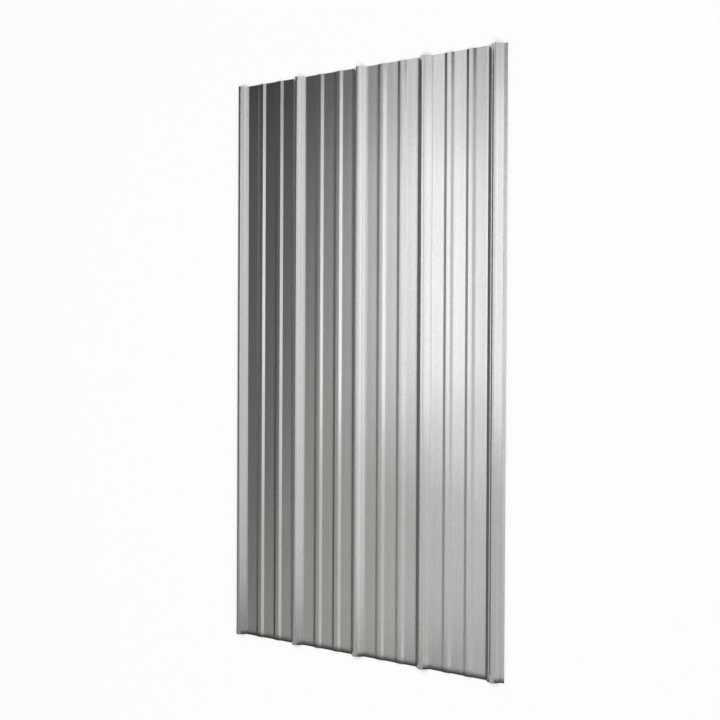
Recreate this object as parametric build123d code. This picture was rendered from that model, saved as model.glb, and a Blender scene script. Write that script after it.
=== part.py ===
# Trapezoidal ribbed roofing and siding sheet, lying flat with its ribs up.
# X runs across the ribs, Y along them, and the undersides of the pans lie on Z = 0.
import math
import os
from build123d import *

# Stock, in millimetres
sheet_length = 1828.8
sheet_thickness = 0.4
bend_radius = 2.4  # inside of every bend

# Major ribs, counted from the overlap edge to the underlap edge
rib_count = 5
rib_pitch = 228.6
rib_height = 19.05
rib_base = 47.6
rib_crest = 8.0

# Minor stiffening ribs in each pan
minor_count = 2
minor_height = 2.8
minor_base = 31.2
minor_crest = 12.8

# Side laps
overlap_leg_drop = 12.0  # free leg of the overlap rib, down from its crest
ledge_height = 13.0  # anti-siphon ledge on the inner side of the underlap rib
ledge_width = 3.5
flange_width = 9.8  # bearing foot beyond the underlap rib

# The longest share of a flat that one of its two bends may take up
bend_flat_share = 0.45

rib_run = (rib_base - rib_crest) / 2
rib_centres = [index * rib_pitch for index in range(rib_count)]
pan_flat = (rib_pitch - rib_base - minor_count * minor_base) / (minor_count + 1)


def rib_corners(centre, base, crest, height):
    return [
        (centre - base / 2, 0),
        (centre - crest / 2, height),
        (centre + crest / 2, height),
        (centre + base / 2, 0),
    ]


def overlap_rib(centre):
    leg_run = rib_run * overlap_leg_drop / rib_height
    leg_end = (centre - rib_crest / 2 - leg_run, rib_height - overlap_leg_drop)
    return [leg_end] + rib_corners(centre, rib_base, rib_crest, rib_height)[1:]


def underlap_rib(centre):
    foot, crest_inner, crest_outer, outer_foot = rib_corners(centre, rib_base, rib_crest, rib_height)
    ledge_start = foot[0] + rib_run * ledge_height / rib_height
    return [
        foot,
        (ledge_start, ledge_height),
        (ledge_start + ledge_width, ledge_height),
        (crest_inner[0] + ledge_width, rib_height),
        crest_outer,
        outer_foot,
        (outer_foot[0] + flange_width, 0),
    ]


def pan_minor_ribs(rib_centre):
    corners = []
    for index in range(minor_count):
        gap = rib_base / 2 + pan_flat + minor_base / 2
        centre = rib_centre + gap + index * (minor_base + pan_flat)
        corners += rib_corners(centre, minor_base, minor_crest, minor_height)
    return corners


def section_corners():
    corners = overlap_rib(rib_centres[0]) + pan_minor_ribs(rib_centres[0])
    for centre in rib_centres[1:-1]:
        corners += rib_corners(centre, rib_base, rib_crest, rib_height) + pan_minor_ribs(centre)
    return corners + underlap_rib(rib_centres[-1])


def bend_radii(corners):
    points = [Vector(*corner) for corner in corners]
    radii = []
    for before, corner, after in zip(points, points[1:], points[2:]):
        turn = (corner - before).get_angle(after - corner)
        flat = min((corner - before).length, (after - corner).length)
        largest = bend_flat_share * flat / math.tan(math.radians(turn) / 2) - sheet_thickness / 2
        radii.append(min(bend_radius, largest) + sheet_thickness / 2)
    return radii


def sheet_section():
    corners = section_corners()
    middle = FilletPolyline(*corners, radius=bend_radii(corners))
    return trace(middle, line_width=sheet_thickness)


def ribbed_sheet():
    section = sheet_section()
    bounds = section.bounding_box()
    section = Pos(-bounds.center().X, -bounds.min.Y) * section
    return extrude(Plane.XZ * section, amount=sheet_length / 2, both=True)


os.makedirs("parts", exist_ok=True)
export_step(ribbed_sheet(), "parts/ribbed_sheet.step")
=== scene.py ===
import math
import bpy
from mathutils import Matrix, Vector


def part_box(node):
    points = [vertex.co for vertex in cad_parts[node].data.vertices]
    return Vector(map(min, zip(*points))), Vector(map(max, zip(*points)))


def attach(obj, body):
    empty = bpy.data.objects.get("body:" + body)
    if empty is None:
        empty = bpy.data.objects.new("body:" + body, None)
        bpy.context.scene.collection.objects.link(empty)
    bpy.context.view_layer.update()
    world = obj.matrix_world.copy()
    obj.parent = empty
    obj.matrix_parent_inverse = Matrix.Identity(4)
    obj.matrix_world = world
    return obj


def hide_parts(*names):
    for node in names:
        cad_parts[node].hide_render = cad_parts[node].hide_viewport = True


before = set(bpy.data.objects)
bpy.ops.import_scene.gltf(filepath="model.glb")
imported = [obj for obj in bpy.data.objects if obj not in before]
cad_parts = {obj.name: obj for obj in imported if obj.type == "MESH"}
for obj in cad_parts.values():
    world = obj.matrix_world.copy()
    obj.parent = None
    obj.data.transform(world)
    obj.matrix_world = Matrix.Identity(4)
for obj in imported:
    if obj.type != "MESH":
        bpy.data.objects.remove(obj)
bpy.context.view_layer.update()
sheetLow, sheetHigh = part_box("ribbed_sheet")
print("frame loaded, sheet", [round(v, 4) for v in sheetHigh - sheetLow])


# small helpers for node trees

def addNode(tree, kind, label="", **settings):
    node = tree.nodes.new(kind)
    node.label = label
    for name, value in settings.items():
        setattr(node, name, value)
    return node


def feed(tree, node, **values):  # sockets by name, spaces written as underscores
    for name, value in values.items():
        sockets = [s for s in node.inputs if s.enabled and s.name == name.replace("_", " ")]
        if isinstance(value, bpy.types.NodeSocket):
            tree.links.new(value, sockets[0])
        else:
            sockets[0].default_value = value
    return node


def doMath(tree, operation, *values):
    node = addNode(tree, "ShaderNodeMath", operation=operation)
    for socket, value in zip(node.inputs, values):
        if isinstance(value, bpy.types.NodeSocket):
            tree.links.new(value, socket)
        else:
            socket.default_value = value
    return node.outputs[0]


def combine(tree, x=0.0, y=0.0, z=0.0):
    return feed(tree, addNode(tree, "ShaderNodeCombineXYZ"), X=x, Y=y, Z=z).outputs[0]


def separate(tree, vector):
    return feed(tree, addNode(tree, "ShaderNodeSeparateXYZ"), Vector=vector).outputs


def compare(tree, operation, kind, a, b):
    node = addNode(tree, "FunctionNodeCompare", operation=operation, data_type=kind)
    return feed(tree, node, A=a, B=b).outputs["Result"]


def newGeometryTree(name, inputs):
    tree = bpy.data.node_groups.new(name, "GeometryNodeTree")
    for label, kind, value in inputs:
        socket = tree.interface.new_socket(label, in_out="INPUT", socket_type="NodeSocket" + kind)
        if value is not None:
            socket.default_value = value
    tree.interface.new_socket("Geometry", in_out="OUTPUT", socket_type="NodeSocketGeometry")
    return tree, addNode(tree, "NodeGroupInput").outputs, addNode(tree, "NodeGroupOutput").inputs[0]


# the sheet: its section from rib corners, rounded at the bends and drawn along the length

sheetSizes = {
    "length": sheetHigh.y - sheetLow.y,
    "thickness": 0.0004,
    "bendRadius": 0.0024,  # inside
    "bendSteps": 5,
    "columnWidth": 0.008,
    "rowSpacing": 0.032,
    "ribCount": 5,
    "ribPitch": 0.2286,
    "ribHeight": 0.01905,
    "ribBase": 0.0476,
    "ribCrest": 0.008,
    "lowRibCount": 2,  # in each pan
    "lowRibHeight": 0.0028,
    "lowRibBase": 0.0312,
    "lowRibCrest": 0.0128,
    "legDrop": 0.012,  # free leg of the overlap rib, below its crest
    "ledgeHeight": 0.013,
    "ledgeWidth": 0.0035,
    "flangeWidth": 0.0098,
    "ripple": 0.0005,  # slack of the pans
    "rippleAcross": 9.0,  # waves in a metre of width
    "rippleAlong": 3.0,  # and of length
    "seed": 7.0,
    "mergeDistance": 0.00002,
    "crispAngle": math.radians(50),  # least turn at an edge that stays sharp
}


def ribCornerTree():
    tree, given, result = newGeometryTree("ribCorners", [
        ("Base", "Float", 0.0476), ("Crest", "Float", 0.008), ("Height", "Float", 0.019)])
    index = addNode(tree, "GeometryNodeInputIndex").outputs[0]
    side = doMath(tree, "SUBTRACT", index, 1.5)  # corners run foot, crest, crest, foot
    onCrest = doMath(tree, "LESS_THAN", doMath(tree, "ABSOLUTE", side), 1.0)
    narrowing = doMath(tree, "MULTIPLY", onCrest, doMath(tree, "SUBTRACT", given["Crest"], given["Base"]))
    half = doMath(tree, "MULTIPLY", doMath(tree, "ADD", given["Base"], narrowing), 0.5)
    x = doMath(tree, "MULTIPLY", half, doMath(tree, "SIGN", side))
    z = doMath(tree, "MULTIPLY", onCrest, given["Height"])
    corners = feed(tree, addNode(tree, "GeometryNodePoints"), Count=4, Position=combine(tree, x, 0.0, z))
    tree.links.new(corners.outputs[0], result)
    return tree


def ribRow(tree, count, start, pitch, instance, label):  # like ribs side by side
    index = addNode(tree, "GeometryNodeInputIndex").outputs[0]
    place = combine(tree, doMath(tree, "ADD", start, doMath(tree, "MULTIPLY", index, pitch)))
    spots = feed(tree, addNode(tree, "GeometryNodePoints", label), Count=count, Position=place)
    ribs = addNode(tree, "GeometryNodeInstanceOnPoints", label)
    feed(tree, ribs, Points=spots.outputs[0], Instance=instance)
    return feed(tree, addNode(tree, "GeometryNodeRealizeInstances"), Geometry=ribs.outputs[0]).outputs[0]


def ribCorners(tree, cornerTree, base, crest, height):
    group = addNode(tree, "GeometryNodeGroup", node_tree=cornerTree)
    return feed(tree, group, Base=base, Crest=crest, Height=height).outputs[0]


def highRibs(tree, given, cornerTree):
    rib = ribCorners(tree, cornerTree, given["Rib Base"], given["Rib Crest"], given["Rib Height"])
    return ribRow(tree, given["Rib Count"], 0.0, given["Rib Pitch"], rib, "high ribs")


def lowRibs(tree, given, cornerTree):  # evenly spaced in each pan
    base, count, pitch = given["Low Rib Base"], given["Low Rib Count"], given["Rib Pitch"]
    taken = doMath(tree, "MULTIPLY_ADD", base, count, given["Rib Base"])
    flat = doMath(tree, "DIVIDE", doMath(tree, "SUBTRACT", pitch, taken), doMath(tree, "ADD", count, 1.0))
    first = doMath(tree, "MULTIPLY_ADD", doMath(tree, "ADD", given["Rib Base"], base), 0.5, flat)
    rib = ribCorners(tree, cornerTree, base, given["Low Rib Crest"], given["Low Rib Height"])
    row = ribRow(tree, count, first, doMath(tree, "ADD", base, flat), rib, "low ribs of a pan")
    pans = doMath(tree, "SUBTRACT", given["Rib Count"], 1.0)
    return ribRow(tree, pans, 0.0, pitch, row, "pans")


def sideRun(tree, given):  # width of a high rib's slanted side
    return doMath(tree, "MULTIPLY", doMath(tree, "SUBTRACT", given["Rib Base"], given["Rib Crest"]), 0.5)


def overlapLeg(tree, given, ribs):  # the first rib's outer leg stops short of the pans
    height, drop = given["Rib Height"], given["Leg Drop"]
    share = doMath(tree, "DIVIDE", drop, height)
    halfCrest = doMath(tree, "MULTIPLY", given["Rib Crest"], 0.5)
    reach = doMath(tree, "MULTIPLY_ADD", sideRun(tree, given), share, halfCrest)
    end = combine(tree, doMath(tree, "MULTIPLY", reach, -1.0), 0.0, doMath(tree, "SUBTRACT", height, drop))
    index = addNode(tree, "GeometryNodeInputIndex").outputs[0]
    leg = addNode(tree, "GeometryNodeSetPosition", "overlap leg")
    feed(tree, leg, Geometry=ribs, Selection=compare(tree, "EQUAL", "INT", index, 0), Position=end)
    return leg.outputs[0]


def underlapCrest(tree, given, ribs):  # the last rib's crest makes room for a ledge on its inner side
    corners = doMath(tree, "MULTIPLY", given["Rib Count"], 4.0)  # four to a rib
    innerCrest = doMath(tree, "SUBTRACT", corners, 3.0)
    index = addNode(tree, "GeometryNodeInputIndex").outputs[0]
    stepped = addNode(tree, "GeometryNodeSetPosition", "underlap crest")
    feed(tree, stepped, Geometry=ribs, Offset=combine(tree, given["Ledge Width"]),
         Selection=compare(tree, "EQUAL", "INT", index, innerCrest))
    return stepped.outputs[0]


def underlapExtras(tree, given):  # corners of that ledge, and the end of the flat foot outside the rib
    base, level = given["Rib Base"], given["Ledge Height"]
    pans = doMath(tree, "SUBTRACT", given["Rib Count"], 1.0)
    lastRib = doMath(tree, "MULTIPLY", pans, given["Rib Pitch"])
    share = doMath(tree, "DIVIDE", level, given["Rib Height"])
    foot = doMath(tree, "SUBTRACT", lastRib, doMath(tree, "MULTIPLY", base, 0.5))
    ledge = doMath(tree, "MULTIPLY_ADD", sideRun(tree, given), share, foot)
    ledgeEnd = doMath(tree, "ADD", ledge, given["Ledge Width"])
    flange = doMath(tree, "ADD", doMath(tree, "MULTIPLY_ADD", base, 0.5, lastRib), given["Flange Width"])
    places = addNode(tree, "GeometryNodeIndexSwitch", "ledge and foot", data_type="VECTOR")
    places.index_switch_items.new()
    tree.links.new(addNode(tree, "GeometryNodeInputIndex").outputs[0], places.inputs["Index"])
    spots = [combine(tree, ledge, 0.0, level), combine(tree, ledgeEnd, 0.0, level), combine(tree, flange)]
    for socket, spot in zip(places.inputs[1:], spots):
        tree.links.new(spot, socket)
    extras = addNode(tree, "GeometryNodePoints", "ledge and foot")
    return feed(tree, extras, Count=len(spots), Position=places.outputs[0]).outputs[0]


def bentLine(tree, given, parts):  # one line through all corners from edge to edge, rounded at the bends
    joined = addNode(tree, "GeometryNodeJoinGeometry")
    for part in parts:
        tree.links.new(part, joined.inputs[0])
    order = separate(tree, addNode(tree, "GeometryNodeInputPosition").outputs[0])["X"]
    line = feed(tree, addNode(tree, "GeometryNodePointsToCurves"), Points=joined.outputs[0], Weight=order)
    middleRadius = doMath(tree, "MULTIPLY_ADD", given["Thickness"], 0.5, given["Bend Radius"])
    bent = addNode(tree, "GeometryNodeFilletCurve", "bends", mode="POLY")
    feed(tree, bent, Curve=line.outputs[0], Count=given["Bend Steps"], Radius=middleRadius,
         Limit_Radius=True)
    return bent.outputs[0]


def withColumns(tree, given, line):  # cuts in the flats
    parameter = addNode(tree, "GeometryNodeSplineParameter").outputs["Length"]
    following = feed(tree, addNode(tree, "GeometryNodeOffsetPointInCurve"), Offset=1)
    nextLength = addNode(tree, "GeometryNodeFieldAtIndex", data_type="FLOAT", domain="POINT")
    feed(tree, nextLength, Value=parameter, Index=following.outputs["Point Index"])
    width = doMath(tree, "SUBTRACT", nextLength.outputs[0], parameter)
    cuts = doMath(tree, "FLOOR", doMath(tree, "DIVIDE", width, given["Column Width"]))
    return feed(tree, addNode(tree, "GeometryNodeSubdivideCurve"), Curve=line, Cuts=cuts).outputs[0]


def drawnOut(tree, given, line):  # the section turned to face along the length, and drawn from end to end
    corner = separate(tree, addNode(tree, "GeometryNodeInputPosition").outputs[0])
    facing = combine(tree, corner["X"], doMath(tree, "MULTIPLY", corner["Z"], -1.0))
    section = addNode(tree, "GeometryNodeSetPosition", "section")
    feed(tree, section, Geometry=line, Position=facing)
    half = doMath(tree, "MULTIPLY", given["Length"], 0.5)
    start = combine(tree, 0.0, doMath(tree, "MULTIPLY", half, -1.0))
    rail = addNode(tree, "GeometryNodeCurvePrimitiveLine", "length")
    feed(tree, rail, Start=start, End=combine(tree, 0.0, half))
    upright = feed(tree, addNode(tree, "GeometryNodeSetCurveNormal", mode="Z_UP"), Curve=rail.outputs[0])
    rows = addNode(tree, "GeometryNodeResampleCurve", mode="LENGTH")
    feed(tree, rows, Curve=upright.outputs[0], Length=given["Row Spacing"])
    drawn = addNode(tree, "GeometryNodeCurveToMesh")
    return feed(tree, drawn, Curve=rows.outputs[0], Profile_Curve=section.outputs[0]).outputs[0]


def withSlack(tree, given, surface):  # always upwards
    across, along = given["Ripple Across"], given["Ripple Along"]
    stretched = addNode(tree, "ShaderNodeVectorMath", operation="MULTIPLY")
    tree.links.new(addNode(tree, "GeometryNodeInputPosition").outputs[0], stretched.inputs[0])
    tree.links.new(combine(tree, across, along, across), stretched.inputs[1])
    waves = addNode(tree, "ShaderNodeTexNoise", "slack", noise_dimensions="4D")
    feed(tree, waves, Vector=stretched.outputs[0], W=given["Seed"], Scale=1.0, Detail=1.0)
    lift = combine(tree, 0.0, 0.0, doMath(tree, "MULTIPLY", waves.outputs[0], given["Ripple"]))
    slack = addNode(tree, "GeometryNodeSetPosition", "slack")
    return feed(tree, slack, Geometry=surface, Offset=lift).outputs[0]


def withThickness(tree, given, surface):  # the underside, and the top drawn up from it
    normal = addNode(tree, "GeometryNodeInputNormal").outputs[0]
    down = addNode(tree, "ShaderNodeVectorMath", operation="SCALE")
    feed(tree, down, Vector=normal, Scale=doMath(tree, "MULTIPLY", given["Thickness"], -0.5))
    under = addNode(tree, "GeometryNodeSetPosition", "underside")
    feed(tree, under, Geometry=surface, Offset=down.outputs[0])
    upper = addNode(tree, "GeometryNodeExtrudeMesh", "thickness", mode="FACES")
    feed(tree, upper, Mesh=under.outputs[0], Offset_Scale=given["Thickness"], Individual=False)
    turned = feed(tree, addNode(tree, "GeometryNodeFlipFaces"), Mesh=under.outputs[0])
    both = addNode(tree, "GeometryNodeJoinGeometry")
    for part in (turned.outputs[0], upper.outputs["Mesh"]):
        tree.links.new(part, both.inputs[0])
    closed = addNode(tree, "GeometryNodeMergeByDistance")
    feed(tree, closed, Geometry=both.outputs[0], Distance=given["Merge Distance"])
    return closed.outputs[0], upper.outputs["Side"]


def onFloor(tree, solid):  # centred on the frame, lying on the pans
    box = feed(tree, addNode(tree, "GeometryNodeBoundBox"), Geometry=solid)
    low, high = separate(tree, box.outputs["Min"]), separate(tree, box.outputs["Max"])
    middle = doMath(tree, "MULTIPLY", doMath(tree, "ADD", low["X"], high["X"]), -0.5)
    raised = doMath(tree, "MULTIPLY", low["Z"], -1.0)
    moved = addNode(tree, "GeometryNodeSetPosition", "on the floor")
    return feed(tree, moved, Geometry=solid, Offset=combine(tree, middle, 0.0, raised)).outputs[0]


def finished(tree, given, solid, rimFaces, steel, cutEdge):  # soft bends, crisp cut edges, two materials
    soft = feed(tree, addNode(tree, "GeometryNodeSetShadeSmooth", domain="FACE"), Geometry=solid)
    angle = addNode(tree, "GeometryNodeInputMeshEdgeAngle").outputs["Unsigned Angle"]
    crisp = addNode(tree, "GeometryNodeSetShadeSmooth", "cut edges", domain="EDGE")
    feed(tree, crisp, Geometry=soft.outputs[0], Shade_Smooth=False,
         Selection=compare(tree, "GREATER_THAN", "FLOAT", angle, given["Crisp Angle"]))
    real = feed(tree, addNode(tree, "GeometryNodeRealizeInstances"), Geometry=crisp.outputs[0])
    faces = feed(tree, addNode(tree, "GeometryNodeSetMaterial"), Geometry=real.outputs[0], Material=steel)
    rims = addNode(tree, "GeometryNodeSetMaterial", "cut edges")
    return feed(tree, rims, Geometry=faces.outputs[0], Selection=rimFaces, Material=cutEdge).outputs[0]


def sheetTree(steel, cutEdge):
    tree, given, result = newGeometryTree("ribbedSheet", [
        ("Geometry", "Geometry", None), ("Length", "Float", 1.0), ("Thickness", "Float", 0.0004),
        ("Bend Radius", "Float", 0.002), ("Bend Steps", "Int", 5), ("Column Width", "Float", 0.008),
        ("Row Spacing", "Float", 0.03), ("Rib Count", "Int", 5), ("Rib Pitch", "Float", 0.2),
        ("Rib Height", "Float", 0.02), ("Rib Base", "Float", 0.05), ("Rib Crest", "Float", 0.01),
        ("Low Rib Count", "Int", 2), ("Low Rib Height", "Float", 0.004), ("Low Rib Base", "Float", 0.03),
        ("Low Rib Crest", "Float", 0.01), ("Leg Drop", "Float", 0.01), ("Ledge Height", "Float", 0.01),
        ("Ledge Width", "Float", 0.003), ("Flange Width", "Float", 0.01), ("Ripple", "Float", 0.0005),
        ("Ripple Across", "Float", 9.0), ("Ripple Along", "Float", 3.0), ("Seed", "Float", 0.0),
        ("Merge Distance", "Float", 0.00002), ("Crisp Angle", "Float", 0.9)])
    cornerTree = ribCornerTree()
    ribs = underlapCrest(tree, given, overlapLeg(tree, given, highRibs(tree, given, cornerTree)))
    line = bentLine(tree, given, [underlapExtras(tree, given), lowRibs(tree, given, cornerTree), ribs])
    surface = withSlack(tree, given, drawnOut(tree, given, withColumns(tree, given, line)))
    solid, rimFaces = withThickness(tree, given, surface)
    tree.links.new(finished(tree, given, onFloor(tree, solid), rimFaces, steel, cutEdge), result)
    return tree


def makeSheet(steel, cutEdge):
    base = bpy.data.objects.new("sheetBase", bpy.data.meshes.new("sheetBase"))
    bpy.context.collection.objects.link(base)
    modifier = base.modifiers.new("ribbedSheet", "NODES")
    modifier.node_group = sheetTree(steel, cutEdge)
    items = modifier.node_group.interface.items_tree
    sockets = {item.name: item.identifier for item in items if item.in_out == "INPUT"}
    for key, value in sheetSizes.items():
        words = "".join(" " + c if c.isupper() else c for c in key).title()  # ribPitch sets Rib Pitch
        modifier[sockets[words]] = value
    evaluated = base.evaluated_get(bpy.context.evaluated_depsgraph_get())
    mesh = bpy.data.meshes.new_from_object(evaluated)
    mesh.name = "ribbedSheet"
    mesh.materials.pop(index=0)  # empty slot of the bare base
    base.modifiers.remove(modifier)
    bpy.data.objects.remove(base)
    sheet = bpy.data.objects.new("ribbedSheet", mesh)
    bpy.context.collection.objects.link(sheet)
    finishes = " and ".join(material.name for material in mesh.materials)
    print("sheet", len(mesh.vertices), "vertices,", len(mesh.polygons), "faces in", finishes)
    return sheet


# finishes

def newMaterial(name):
    material = bpy.data.materials.new(name)
    material.use_nodes = True
    tree = material.node_tree
    tree.nodes.clear()
    shader = addNode(tree, "ShaderNodeBsdfPrincipled")
    output = addNode(tree, "ShaderNodeOutputMaterial")
    tree.links.new(shader.outputs[0], output.inputs["Surface"])
    return material, tree, shader


grainLook = {  # of every metal on the sheet
    "streakDetail": 4.0,
    "streakRough": 0.6,
    "driftDetail": 3.0,
}


def addInputs(tree, inputs):
    for label, value in inputs:
        socket = tree.interface.new_socket(label, in_out="INPUT", socket_type="NodeSocketFloat")
        socket.default_value = value


def drawnNoise(tree, place, width, length, label):  # noise drawn out along the sheet
    thin, long = (doMath(tree, "DIVIDE", 1.0, size) for size in (width, length))
    drawn = addNode(tree, "ShaderNodeVectorMath", operation="MULTIPLY")
    tree.links.new(place, drawn.inputs[0])
    tree.links.new(combine(tree, thin, long, thin), drawn.inputs[1])
    noise = addNode(tree, "ShaderNodeTexNoise", label)
    feed(tree, noise, Vector=drawn.outputs[0], Scale=1.0, Detail=grainLook["streakDetail"],
         Roughness=grainLook["streakRough"])
    return noise.outputs[0]


def rolledGrain():  # fine spangle, roll marks and slow drift in tone, on object coordinates
    tree = bpy.data.node_groups.new("rolledGrain", "ShaderNodeTree")
    addInputs(tree, [("Spangle Size", 0.004), ("Streak Width", 0.004), ("Streak Length", 0.8),
                     ("Drift Size", 0.25), ("Rib Foot", 0.004), ("Rib Top", 0.008)])
    for label in ("Spangle", "Streaks", "Drift", "Rib Marks"):
        tree.interface.new_socket(label, in_out="OUTPUT", socket_type="NodeSocketFloat")
    given = addNode(tree, "NodeGroupInput").outputs
    result = addNode(tree, "NodeGroupOutput").inputs
    place = addNode(tree, "ShaderNodeTexCoord").outputs["Object"]
    spangle = addNode(tree, "ShaderNodeTexVoronoi", "spangle", feature="F1")
    feed(tree, spangle, Vector=place, Scale=doMath(tree, "DIVIDE", 1.0, given["Spangle Size"]),
         Randomness=1.0)
    tint = feed(tree, addNode(tree, "ShaderNodeSeparateColor"), Color=spangle.outputs["Color"])
    tree.links.new(tint.outputs[0], result["Spangle"])
    streaks = drawnNoise(tree, place, given["Streak Width"], given["Streak Length"], "roll marks")
    tree.links.new(streaks, result["Streaks"])
    drift = addNode(tree, "ShaderNodeTexNoise", "drift")
    feed(tree, drift, Vector=place, Scale=doMath(tree, "DIVIDE", 1.0, given["Drift Size"]),
         Detail=grainLook["driftDetail"])
    tree.links.new(drift.outputs[0], result["Drift"])

    # the rollers mark the sides of the high ribs most
    height = separate(tree, place)["Z"]
    onRib = addNode(tree, "ShaderNodeMapRange", "rib sides", interpolation_type="SMOOTHSTEP")
    feed(tree, onRib, Value=height, From_Min=given["Rib Foot"], From_Max=given["Rib Top"])
    swing = doMath(tree, "SUBTRACT", streaks, 0.5)  # the noise lies about one half
    tree.links.new(doMath(tree, "MULTIPLY", onRib.outputs[0], swing), result["Rib Marks"])
    return tree


steelFinish = {
    "spangleSize": 0.0035,
    "streakWidth": 0.005,
    "streakLength": 2.5,
    "driftSize": 0.25,
    "ribFoot": 0.004,  # heights between which the rib marks come in
    "ribTop": 0.008,
    "shares": (0.28, 0.52, 0.2, 2.5),  # of spangle, streaks, drift and rib marks
    "dark": (0.560, 0.560, 0.558, 1),
    "light": (0.700, 0.700, 0.698, 1),
    "roughLow": 0.24,
    "roughHigh": 0.26,
    "bumpStrength": 0.1,
    "bumpDistance": 0.00002,
    # painted shade along the lower sheared end: its dark colour, reach and roughness follow
    "paintedShade": (0.020, 0.020, 0.017, 1),
    "paintedShadeReach": 0.012,  # least, from the sheared end upwards
    "paintedShadeSpread": 0.020,  # further reach in the patches
    "paintedShadePatch": 0.03,
    "paintedShadeDetail": 3.0,
    "paintedShadeBreakUp": 0.65,
    "paintedShadeDepth": 0.91,
    "paintedShadeCrest": (0.013, 0.0185),  # heights over which it thins out
    "paintedShadeOnCrest": 0.1,
    "paintedShadeRough": 0.45,
}


def paintedEndShade(tree):  # painted shade: a dark band along the lower sheared end, the crests left nearly clean
    place = addNode(tree, "ShaderNodeTexCoord").outputs["Object"]
    axes = separate(tree, place)
    patches = addNode(tree, "ShaderNodeTexNoise", "patches")
    feed(tree, patches, Vector=place, Scale=1 / steelFinish["paintedShadePatch"],
         Detail=steelFinish["paintedShadeDetail"], Roughness=steelFinish["paintedShadeBreakUp"])
    least, further = steelFinish["paintedShadeReach"], steelFinish["paintedShadeSpread"]
    reach = doMath(tree, "MULTIPLY_ADD", patches.outputs[0], further, least)
    fromEnd = doMath(tree, "DIVIDE", doMath(tree, "SUBTRACT", axes["Y"], sheetLow.y), reach)
    fade = addNode(tree, "ShaderNodeMapRange", "fade", interpolation_type="SMOOTHSTEP")
    feed(tree, fade, Value=fromEnd, To_Min=steelFinish["paintedShadeDepth"], To_Max=0.0)
    thinned = addNode(tree, "ShaderNodeMapRange", "less on the crests")
    side, top = steelFinish["paintedShadeCrest"]
    feed(tree, thinned, Value=axes["Z"], From_Min=side, From_Max=top,
         To_Min=1.0, To_Max=steelFinish["paintedShadeOnCrest"])
    return doMath(tree, "MULTIPLY", fade.outputs[0], thinned.outputs[0])


def coatedSteel(grainTree):
    material, tree, shader = newMaterial("coatedSteel")
    grain = addNode(tree, "ShaderNodeGroup", node_tree=grainTree)
    feed(tree, grain, Spangle_Size=steelFinish["spangleSize"], Streak_Width=steelFinish["streakWidth"],
         Streak_Length=steelFinish["streakLength"], Drift_Size=steelFinish["driftSize"],
         Rib_Foot=steelFinish["ribFoot"], Rib_Top=steelFinish["ribTop"])
    mixed = 0.0
    for output, share in zip(grain.outputs, steelFinish["shares"]):
        mixed = doMath(tree, "MULTIPLY_ADD", output, share, mixed)
    clean = addNode(tree, "ShaderNodeMix", data_type="RGBA")
    feed(tree, clean, Factor=mixed, A=steelFinish["dark"], B=steelFinish["light"])
    # painted shade darkens the tone along the lower sheared end
    paintedShade = paintedEndShade(tree)
    tone = addNode(tree, "ShaderNodeMix", data_type="RGBA")
    feed(tree, tone, Factor=paintedShade, A=clean.outputs[2], B=steelFinish["paintedShade"])
    rough = addNode(tree, "ShaderNodeMapRange")
    feed(tree, rough, Value=mixed, To_Min=steelFinish["roughHigh"], To_Max=steelFinish["roughLow"])
    matt = addNode(tree, "ShaderNodeMix", data_type="FLOAT")
    feed(tree, matt, Factor=paintedShade, A=rough.outputs[0], B=steelFinish["paintedShadeRough"])
    bump = addNode(tree, "ShaderNodeBump")
    feed(tree, bump, Height=mixed, Strength=steelFinish["bumpStrength"],
         Distance=steelFinish["bumpDistance"])
    feed(tree, shader, Base_Color=tone.outputs[2], Roughness=matt.outputs[0],
         Normal=bump.outputs[0], Metallic=1.0)
    return material


edgeFinish = {
    "gritSize": 0.0006,
    "dark": (0.30, 0.30, 0.29, 1),
    "light": (0.46, 0.46, 0.45, 1),
    "roughLow": 0.35,
    "roughHigh": 0.55,
}


def shearedEdge(grainTree):
    material, tree, shader = newMaterial("shearedEdge")
    grain = addNode(tree, "ShaderNodeGroup", node_tree=grainTree)
    feed(tree, grain, Streak_Width=edgeFinish["gritSize"], Streak_Length=edgeFinish["gritSize"])
    grit = grain.outputs["Streaks"]
    tone = addNode(tree, "ShaderNodeMix", data_type="RGBA")
    feed(tree, tone, Factor=grit, A=edgeFinish["dark"], B=edgeFinish["light"])
    rough = addNode(tree, "ShaderNodeMapRange")
    feed(tree, rough, Value=grit, To_Min=edgeFinish["roughLow"], To_Max=edgeFinish["roughHigh"])
    feed(tree, shader, Base_Color=tone.outputs[2], Roughness=rough.outputs[0], Metallic=1.0)
    return material


grainTree = rolledGrain()
steel = coatedSteel(grainTree)
cutEdge = shearedEdge(grainTree)
print("finishes", steel.name, "and", cutEdge.name)
ribbedSheet = makeSheet(steel, cutEdge)
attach(ribbedSheet, "root")
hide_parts("ribbed_sheet")


# stage: floor, light and camera

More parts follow.
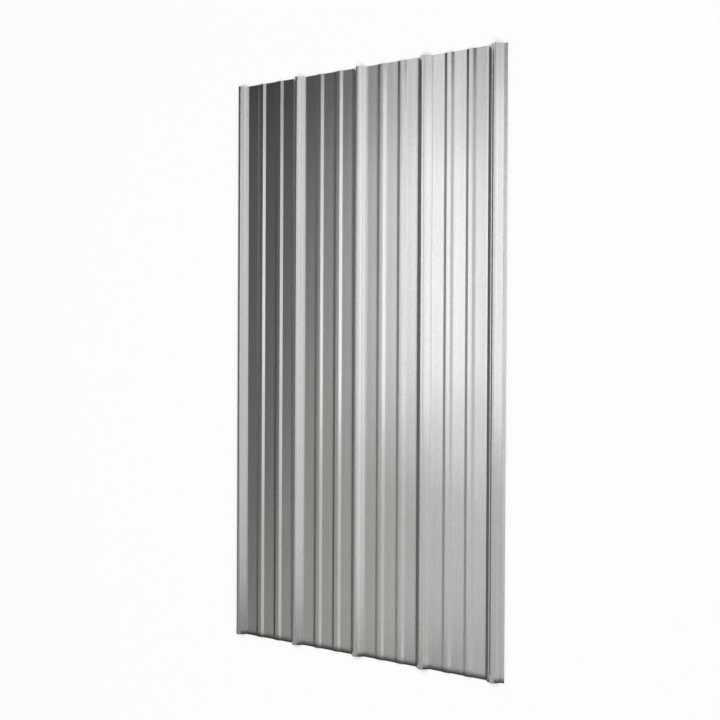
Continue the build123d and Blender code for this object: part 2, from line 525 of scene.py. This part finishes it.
stageLook = {
    "white": (1, 1, 1, 1),
    "floorSize": 24.0,
    "floorDrop": 0.0004,  # below the sheet, so that the two don't share a plane
    "floorWhite": (0.86, 0.86, 0.86, 1),
    "floorGlow": 0.96,  # share of plain white that the floor shows
    "contactReach": 0.03,  # how far from the sheet that white is shaded
    "contactRays": 8,
    "skyTone": (0.008, 0.008, 0.007, 1),
    "wallTone": (0.7, 0.7, 0.67, 1),
    "wallTops": (0.22, 0.62),  # left and right, as the upward part of the direction
    "wallTurn": (-0.8, -0.45),  # sideways part of the direction where they change
    "wallFade": 0.16,
    "endWallTone": (0.33, 0.33, 0.318, 1),  # walls beyond the sheet's ends, above the floor line
    "endWallTurn": (0.5, 0.8),  # lengthwise part of the direction where they take over
    "endWallRise": 0.42,  # upward part of the direction at their full tone
    "cameraPlace": (1.5734, 0.0336, 2.6073),
    "cameraAim": (-0.0045, 0.0069, 0.0),
    "cameraRoll": 0.28,
    "cameraLens": 49.0,
    "cameraSensor": 36.0,
    # place, aim, width, height, turn, brightness, warmth
    "softboxes": {
        "keyStrip": ((-0.78, 0.9, 2.2), (-0.78, 0.9, 0.0), 0.54, 2.26, 3, 0.78, -0.015),
        "longStrip": ((-0.78, 0.72, 2.17), (-0.78, 0.72, 0.0), 0.54, 2.62, 3, 0.78, -0.015),
        "ribStrip": ((0.06, 0.62, 2.23), (0.06, 0.62, 0.0), 0.45, 1.96, 1, 1.3, 0.0),
        "broadBox": ((0.12, -1.94, 2.26), (0.12, -1.94, 0.0), 1.66, 6.98, -13, 0.74, 0.012),
        "endBox": ((-0.74, -1.04, 2.29), (-0.74, -1.04, 0.0), 0.4, 1.28, -16, 0.77, 0.012),
        "leftBox": ((-1.33, -0.55, 2.32), (-1.33, -0.55, 0.0), 1.12, 3.58, -13, 0.46, 0.05),
        "sideBox": ((2.3, 0.49, 0.95), (0.0, 0.49, -0.4), 1.73, 0.97, 0, 0.76, 0.0),
        "broadSideBox": ((2.35, 0.42, 2.15), (0.0, 0.42, 0.75), 4.26, 1.35, 0, 0.76, 0.012),
        "lowBox": ((-3.2, -1.2, 2.18), (0.3, -1.2, 0.0), 6.38, 0.97, 0, 0.5, 0.06),
    },
}


def makeFloor():
    half = stageLook["floorSize"] / 2
    level = sheetLow.z - stageLook["floorDrop"]
    mesh = bpy.data.meshes.new("floor")
    corners = [(x * half, y * half, level) for x, y in ((-1, -1), (1, -1), (1, 1), (-1, 1))]
    mesh.from_pydata(corners, [], [(0, 1, 2, 3)])
    floor = bpy.data.objects.new("floor", mesh)
    bpy.context.collection.objects.link(floor)
    material = bpy.data.materials.new("paleFloor")
    material.use_nodes = True
    tree = material.node_tree
    tree.nodes.clear()
    matt = feed(tree, addNode(tree, "ShaderNodeBsdfDiffuse"), Color=stageLook["floorWhite"])
    contact = addNode(tree, "ShaderNodeAmbientOcclusion", samples=stageLook["contactRays"])
    feed(tree, contact, Distance=stageLook["contactReach"])
    glow = addNode(tree, "ShaderNodeEmission")
    feed(tree, glow, Color=stageLook["white"], Strength=contact.outputs["AO"])
    path = addNode(tree, "ShaderNodeLightPath").outputs
    seen = doMath(tree, "MAXIMUM", doMath(tree, "MAXIMUM", path["Is Camera Ray"], path["Is Glossy Ray"]),
                  path["Is Transmission Ray"])
    mix = addNode(tree, "ShaderNodeMixShader")
    tree.links.new(doMath(tree, "MULTIPLY", seen, stageLook["floorGlow"]), mix.inputs[0])
    tree.links.new(matt.outputs[0], mix.inputs[1])
    tree.links.new(glow.outputs[0], mix.inputs[2])
    tree.links.new(mix.outputs[0], addNode(tree, "ShaderNodeOutputMaterial").inputs["Surface"])
    mesh.materials.append(material)


def makeSky():  # pale low walls under a dark ceiling, plain white behind the sheet
    world = bpy.data.worlds.new("studio")
    world.use_nodes = True
    tree = world.node_tree
    direction = addNode(tree, "ShaderNodeTexCoord").outputs["Generated"]
    axes = separate(tree, direction)
    turn, tops = stageLook["wallTurn"], stageLook["wallTops"]
    top = addNode(tree, "ShaderNodeMapRange", "wall top", interpolation_type="SMOOTHSTEP")
    feed(tree, top, Value=axes["X"], From_Min=turn[0], From_Max=turn[1],
         To_Min=tops[0], To_Max=tops[1])
    below = doMath(tree, "SUBTRACT", top.outputs[0], axes["Z"])
    onWall = addNode(tree, "ShaderNodeMapRange", "wall", interpolation_type="SMOOTHSTEP")
    feed(tree, onWall, Value=below, From_Max=stageLook["wallFade"])
    lengthwise = doMath(tree, "ABSOLUTE", axes["Y"])
    onEnd = addNode(tree, "ShaderNodeMapRange", "end walls", interpolation_type="SMOOTHSTEP")
    ends = stageLook["endWallTurn"]
    feed(tree, onEnd, Value=lengthwise, From_Min=ends[0], From_Max=ends[1])
    rise = addNode(tree, "ShaderNodeMapRange", "end walls darken upwards")
    feed(tree, rise, Value=axes["Z"], From_Max=stageLook["endWallRise"])
    wall = addNode(tree, "ShaderNodeMix", data_type="RGBA")
    feed(tree, wall, Factor=doMath(tree, "MULTIPLY", onEnd.outputs[0], rise.outputs[0]),
         A=stageLook["wallTone"], B=stageLook["endWallTone"])
    tone = addNode(tree, "ShaderNodeMix", data_type="RGBA")
    feed(tree, tone, Factor=onWall.outputs[0], A=stageLook["skyTone"], B=wall.outputs[2])
    seen = addNode(tree, "ShaderNodeMix", data_type="RGBA")
    feed(tree, seen, Factor=addNode(tree, "ShaderNodeLightPath").outputs["Is Camera Ray"],
         A=tone.outputs[2], B=stageLook["white"])
    tree.links.new(seen.outputs[2], tree.nodes["Background"].inputs["Color"])
    bpy.context.scene.world = world


def makeLights():
    for name, (place, aim, width, height, turn, brightness, warmth) in stageLook["softboxes"].items():
        lamp = bpy.data.lights.new(name, "AREA")
        lamp.shape = "RECTANGLE"
        lamp.size = width
        lamp.size_y = height
        lamp.energy = brightness * math.pi * width * height
        lamp.color = (1, 1, 1 - warmth)
        light = bpy.data.objects.new(name, lamp)
        light.location = place
        facing = (Vector(aim) - Vector(place)).to_track_quat("-Z", "Y").to_matrix()
        light.rotation_euler = (facing @ Matrix.Rotation(math.radians(turn), 3, "Z")).to_euler()
        light.visible_camera = False
        bpy.context.collection.objects.link(light)


def makeCamera():
    lens = bpy.data.cameras.new("camera")
    lens.lens = stageLook["cameraLens"]
    lens.sensor_width = stageLook["cameraSensor"]
    camera = bpy.data.objects.new("camera", lens)
    bpy.context.collection.objects.link(camera)
    place = Vector(stageLook["cameraPlace"])
    forward = (Vector(stageLook["cameraAim"]) - place).normalized()
    right = forward.cross(Vector((0, 1, 0))).normalized()
    turn = Matrix((right, right.cross(forward), -forward)).transposed()
    roll = Matrix.Rotation(math.radians(stageLook["cameraRoll"]), 4, "Z")
    camera.matrix_world = Matrix.Translation(place) @ turn.to_4x4() @ roll
    bpy.context.scene.camera = camera


makeFloor()
makeSky()
makeLights()
makeCamera()
print("stage", len(stageLook["softboxes"]), "soft boxes, pale floor and walls, camera")
bpy.context.scene.view_settings.view_transform = "Standard"
